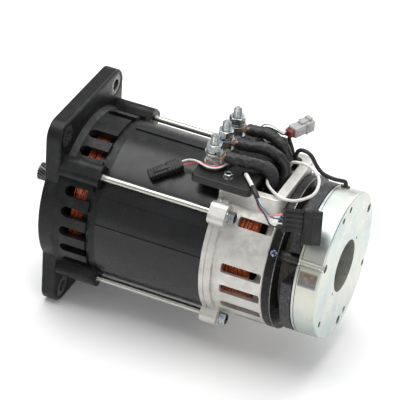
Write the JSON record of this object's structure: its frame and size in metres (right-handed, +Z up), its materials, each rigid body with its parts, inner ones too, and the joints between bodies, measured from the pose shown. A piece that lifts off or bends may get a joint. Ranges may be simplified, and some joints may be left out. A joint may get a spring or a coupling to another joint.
{
  "type": "brake motor",
  "caption": "Flanged three-phase drive motor with helical pinion shaft, slotted cast bells, stud terminal block, loose wiring and a spring-applied brake on its rear end.",
  "frame": {"origin": "centre of the drive-end flange's front mounting face, on the shaft axis", "axes": "+X along the shaft from the flange to the brake, +Z up to the terminal studs"},
  "size_m": [0.3102, 0.158, 0.2166],
  "materials": {
    "black_casting": "satin black paint on a rough casting",
    "cast_aluminium": "raw die casting, machined faces brighter",
    "laminations": "varnished lamination stack, semi-gloss",
    "winding": "enamelled copper wire under varnish",
    "zinc_steel": "bright zinc plate",
    "zinc_plated_body": "pale zinc plate, satin",
    "phosphated_steel": "dark phosphated steel with ground faces",
    "black_steel": "black oxide steel",
    "ground_steel": "ground steel",
    "bearing_steel": "polished bearing steel",
    "spring_steel": "oiled spring steel",
    "tinned_copper": "bare copper, slightly tarnished",
    "black_plastic": "matt glass-filled nylon",
    "grey_plastic": "matt nylon",
    "orange_plastic": "semi-gloss nylon",
    "potting_resin": "cast epoxy",
    "friction_lining": "pressed fibre lining on a steel carrier",
    "seal_rubber": "moulded nitrile",
    "black_rubber": "flexible insulation, satin",
    "white_sleeve": "flexible insulation",
    "red_sleeve": "flexible insulation",
    "blue_sleeve": "flexible insulation"
  },
  "bodies": {
    "housing": {"drive_end_bell": "black_casting", "shaft_seal": "seal_rubber", "front_bearing_outer_ring": "bearing_steel", "front_bearing_circlip": "spring_steel", "stator_core": "laminations", "stator_cleats": "laminations", "stator_winding": "winding", "tie_rods": "zinc_steel", "tie_rod_washers": "zinc_steel", "rear_end_bell": "cast_aluminium", "rear_bearing_outer_ring": "bearing_steel", "wave_spring": "spring_steel", "speed_sensor": "black_plastic", "terminal_block": "black_plastic", "terminal_block_screws": "zinc_steel", "terminal_studs": "zinc_steel", "terminal_nuts": "zinc_steel", "terminal_washers": "zinc_steel", "terminal_spring_washers": "zinc_steel", "cable_lugs": "tinned_copper", "brake_flange_plate": "phosphated_steel", "brake_magnet_body": "zinc_plated_body", "brake_coil": "potting_resin", "brake_springs": "spring_steel", "brake_mounting_screws": "black_steel", "brake_spacer_sleeves": "zinc_steel", "brake_lead_grommet": "black_rubber", "sensor_connector": "black_plastic", "sensor_connector_cap": "black_plastic", "temp_connector": "black_plastic", "signal_connector": "grey_plastic", "signal_connector_wedge": "orange_plastic", "phase_lead_u": "black_rubber", "phase_lead_v": "black_rubber", "phase_lead_w": "black_rubber", "brake_lead": "black_rubber", "white_loop_wire": "white_sleeve", "sensor_lead": "white_sleeve", "signal_lead": "black_rubber", "temp_wire_white": "white_sleeve", "temp_wire_red": "red_sleeve", "sensor_wire_pink": "red_sleeve", "sensor_wire_blue": "blue_sleeve", "sensor_wire_white": "white_sleeve", "sensor_wire_black": "black_rubber", "signal_wire_white": "white_sleeve", "signal_wire_black": "black_rubber"},
    "rotor": {"motor_shaft": "ground_steel", "rotor_core": "laminations", "rotor_cage": "cast_aluminium", "front_bearing_inner_ring": "bearing_steel", "rear_bearing_inner_ring": "bearing_steel", "encoder_ring": "black_plastic", "brake_hub": "black_steel", "friction_disc": "friction_lining", "shaft_circlip": "spring_steel"},
    "front_balls": {"front_bearing_balls": "bearing_steel"},
    "rear_balls": {"rear_bearing_balls": "bearing_steel"},
    "armature": {"armature_plate": "phosphated_steel"}
  },
  "joints": [
    {"name": "rotor_spin", "type": "hinge", "parent": "housing", "child": "rotor", "pos_m": [0, 0, 0], "axis": [1, 0, 0], "continuous": true},
    {"name": "front_ball_set_spin", "type": "hinge", "parent": "housing", "child": "front_balls", "pos_m": [0, 0, 0], "axis": [1, 0, 0], "continuous": true},
    {"name": "rear_ball_set_spin", "type": "hinge", "parent": "housing", "child": "rear_balls", "pos_m": [0, 0, 0], "axis": [1, 0, 0], "continuous": true},
    {"name": "armature_release", "type": "slide", "parent": "housing", "child": "armature", "axis": [1, 0, 0], "range_m": [0, 0.0004], "stiffness_N_per_m": 5000, "springref_m": -0.002}
  ],
  "couplings": [
    {"joint": "front_ball_set_spin", "follows": "rotor_spin", "ratio": 0.3736},
    {"joint": "rear_ball_set_spin", "follows": "rotor_spin", "ratio": 0.3806}
  ]
}
